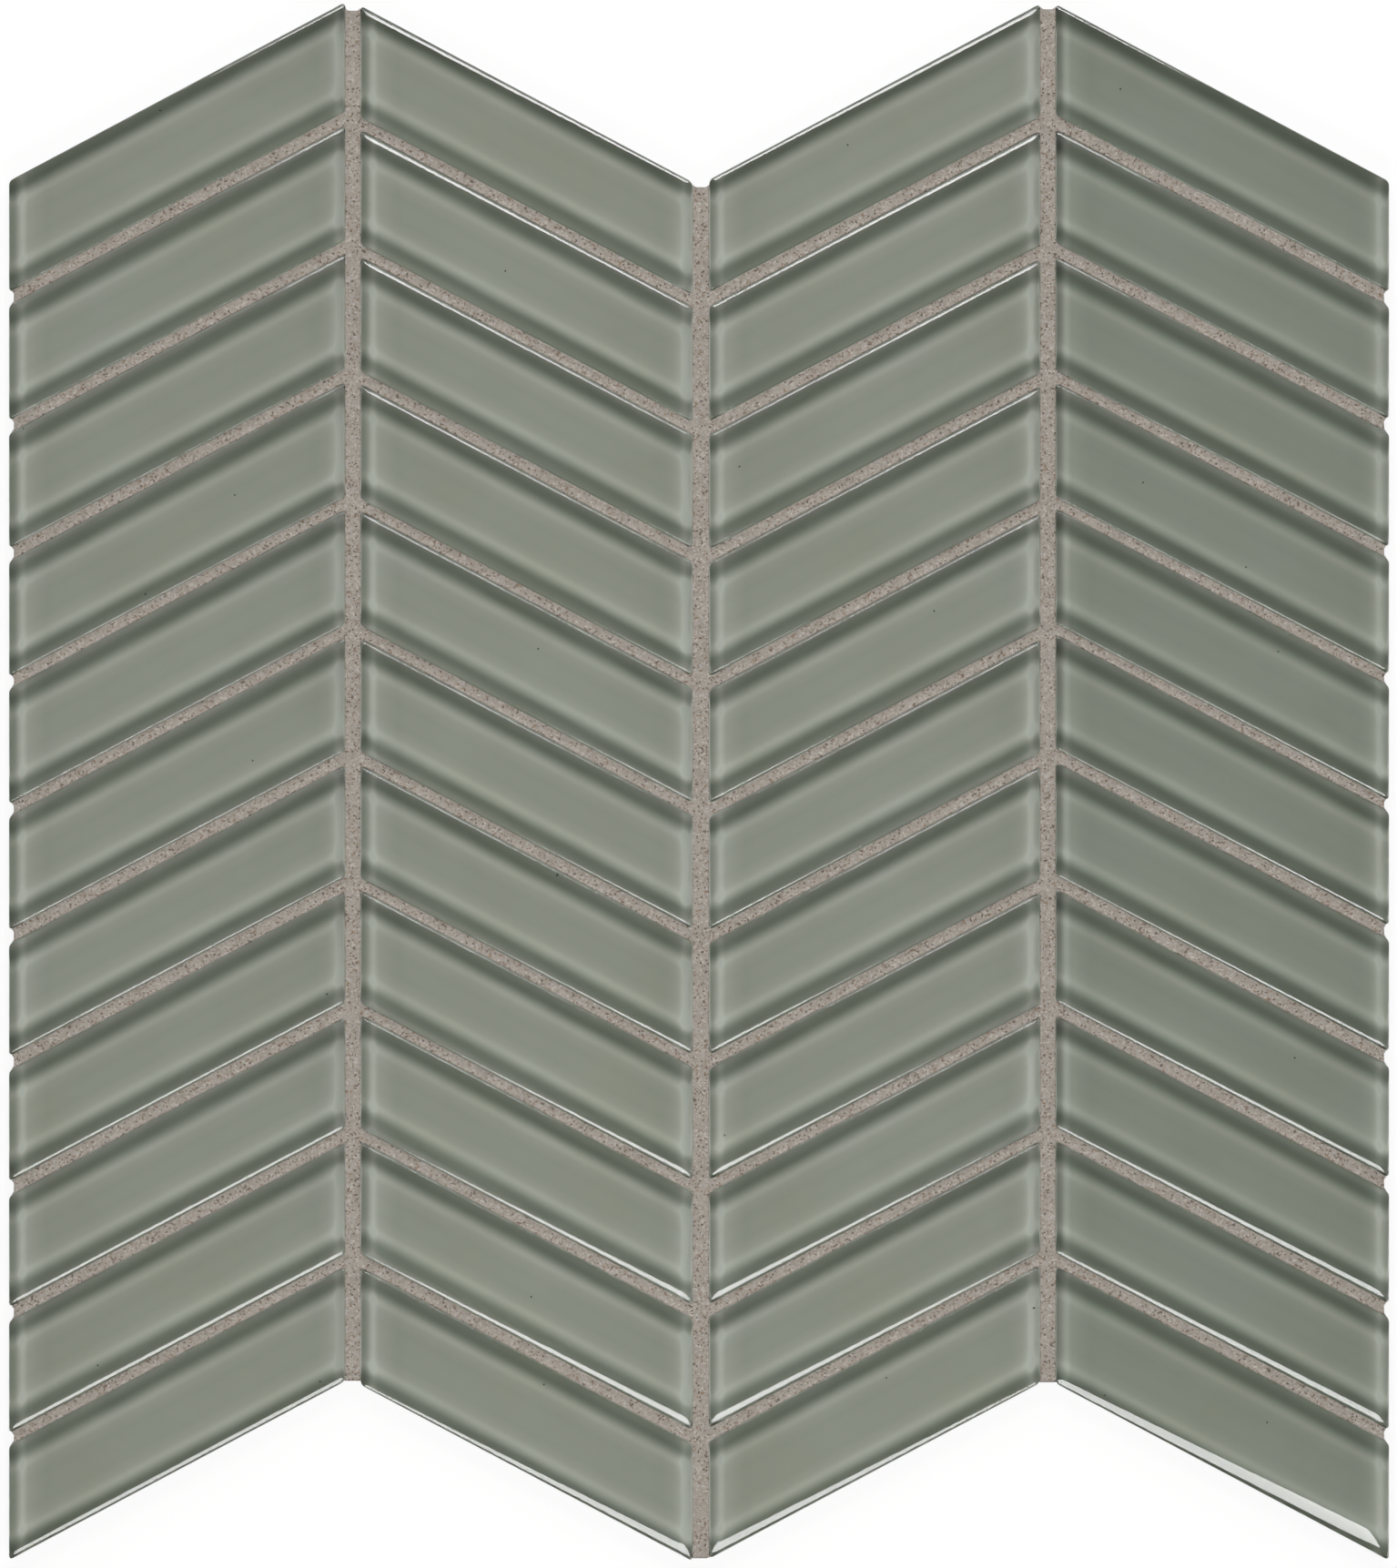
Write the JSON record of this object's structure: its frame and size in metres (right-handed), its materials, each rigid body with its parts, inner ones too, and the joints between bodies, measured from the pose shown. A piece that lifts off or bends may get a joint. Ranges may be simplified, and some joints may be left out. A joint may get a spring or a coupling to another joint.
{
  "type": "chevron wall tile",
  "caption": "Sheet of slanted glass chips laid in zigzag columns, with grout in the joints and a mesh on the back, for facing a wall.",
  "frame": {"origin": "middle of the sheet at the back of its mesh, which lies on the floor", "axes": "+Z out of the glazed face, +Y along the columns towards the top of the picture, +X across the columns to the right"},
  "size_m": [0.3016, 0.34, 0.0084],
  "materials": {
    "glass": "gloss, painted on the back",
    "grout": "sanded cement, matt",
    "mesh": "woven glass fibre"
  },
  "bodies": {
    "root": {"glass_chip_c1_r01": "glass", "glass_chip_c1_r02": "glass", "glass_chip_c1_r03": "glass", "glass_chip_c1_r04": "glass", "glass_chip_c1_r05": "glass", "glass_chip_c1_r06": "glass", "glass_chip_c1_r07": "glass", "glass_chip_c1_r08": "glass", "glass_chip_c1_r09": "glass", "glass_chip_c1_r10": "glass", "glass_chip_c1_r11": "glass", "glass_chip_c2_r01": "glass", "glass_chip_c2_r02": "glass", "glass_chip_c2_r03": "glass", "glass_chip_c2_r04": "glass", "glass_chip_c2_r05": "glass", "glass_chip_c2_r06": "glass", "glass_chip_c2_r07": "glass", "glass_chip_c2_r08": "glass", "glass_chip_c2_r09": "glass", "glass_chip_c2_r10": "glass", "glass_chip_c2_r11": "glass", "glass_chip_c3_r01": "glass", "glass_chip_c3_r02": "glass", "glass_chip_c3_r03": "glass", "glass_chip_c3_r04": "glass", "glass_chip_c3_r05": "glass", "glass_chip_c3_r06": "glass", "glass_chip_c3_r07": "glass", "glass_chip_c3_r08": "glass", "glass_chip_c3_r09": "glass", "glass_chip_c3_r10": "glass", "glass_chip_c3_r11": "glass", "glass_chip_c4_r01": "glass", "glass_chip_c4_r02": "glass", "glass_chip_c4_r03": "glass", "glass_chip_c4_r04": "glass", "glass_chip_c4_r05": "glass", "glass_chip_c4_r06": "glass", "glass_chip_c4_r07": "glass", "glass_chip_c4_r08": "glass", "glass_chip_c4_r09": "glass", "glass_chip_c4_r10": "glass", "glass_chip_c4_r11": "glass", "grout": "grout", "mesh_backing": "mesh"}
  },
  "joints": []
}
